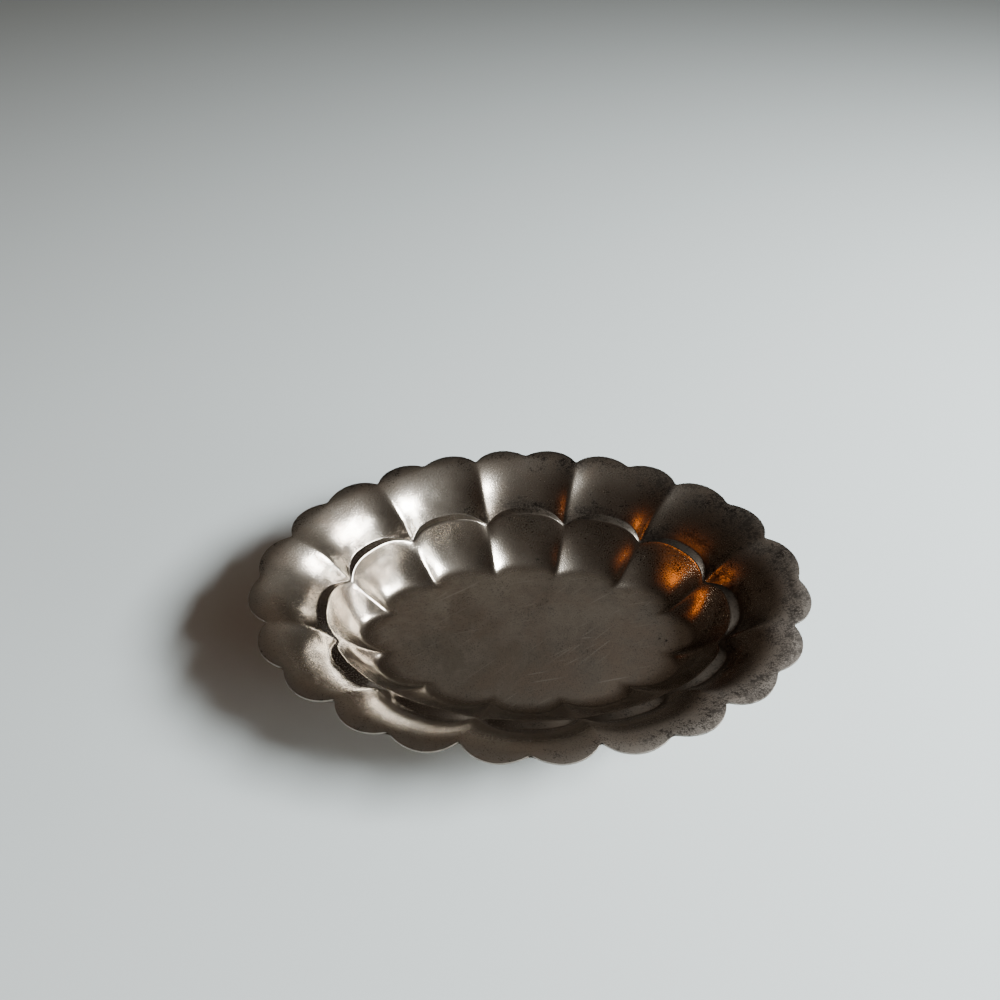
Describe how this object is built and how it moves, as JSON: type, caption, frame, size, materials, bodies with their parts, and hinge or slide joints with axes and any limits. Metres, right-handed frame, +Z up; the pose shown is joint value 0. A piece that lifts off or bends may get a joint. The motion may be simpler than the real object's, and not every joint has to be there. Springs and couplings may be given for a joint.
{
  "type": "coin tray",
  "caption": "Shallow oval metal tray for coins and small things, with a stepped, fluted wall, a flared scalloped brim and a low oval foot.",
  "frame": {"origin": "centre of the foot's resting face, on the surface the tray stands on", "axes": "+X along the oval's length, +Y across it, +Z up out of the tray's mouth"},
  "size_m": [0.1744, 0.1268, 0.0326],
  "materials": {
    "silver_plate": "satin"
  },
  "bodies": {
    "root": {"tray_body": "silver_plate", "foot_ring": "silver_plate"}
  },
  "joints": []
}
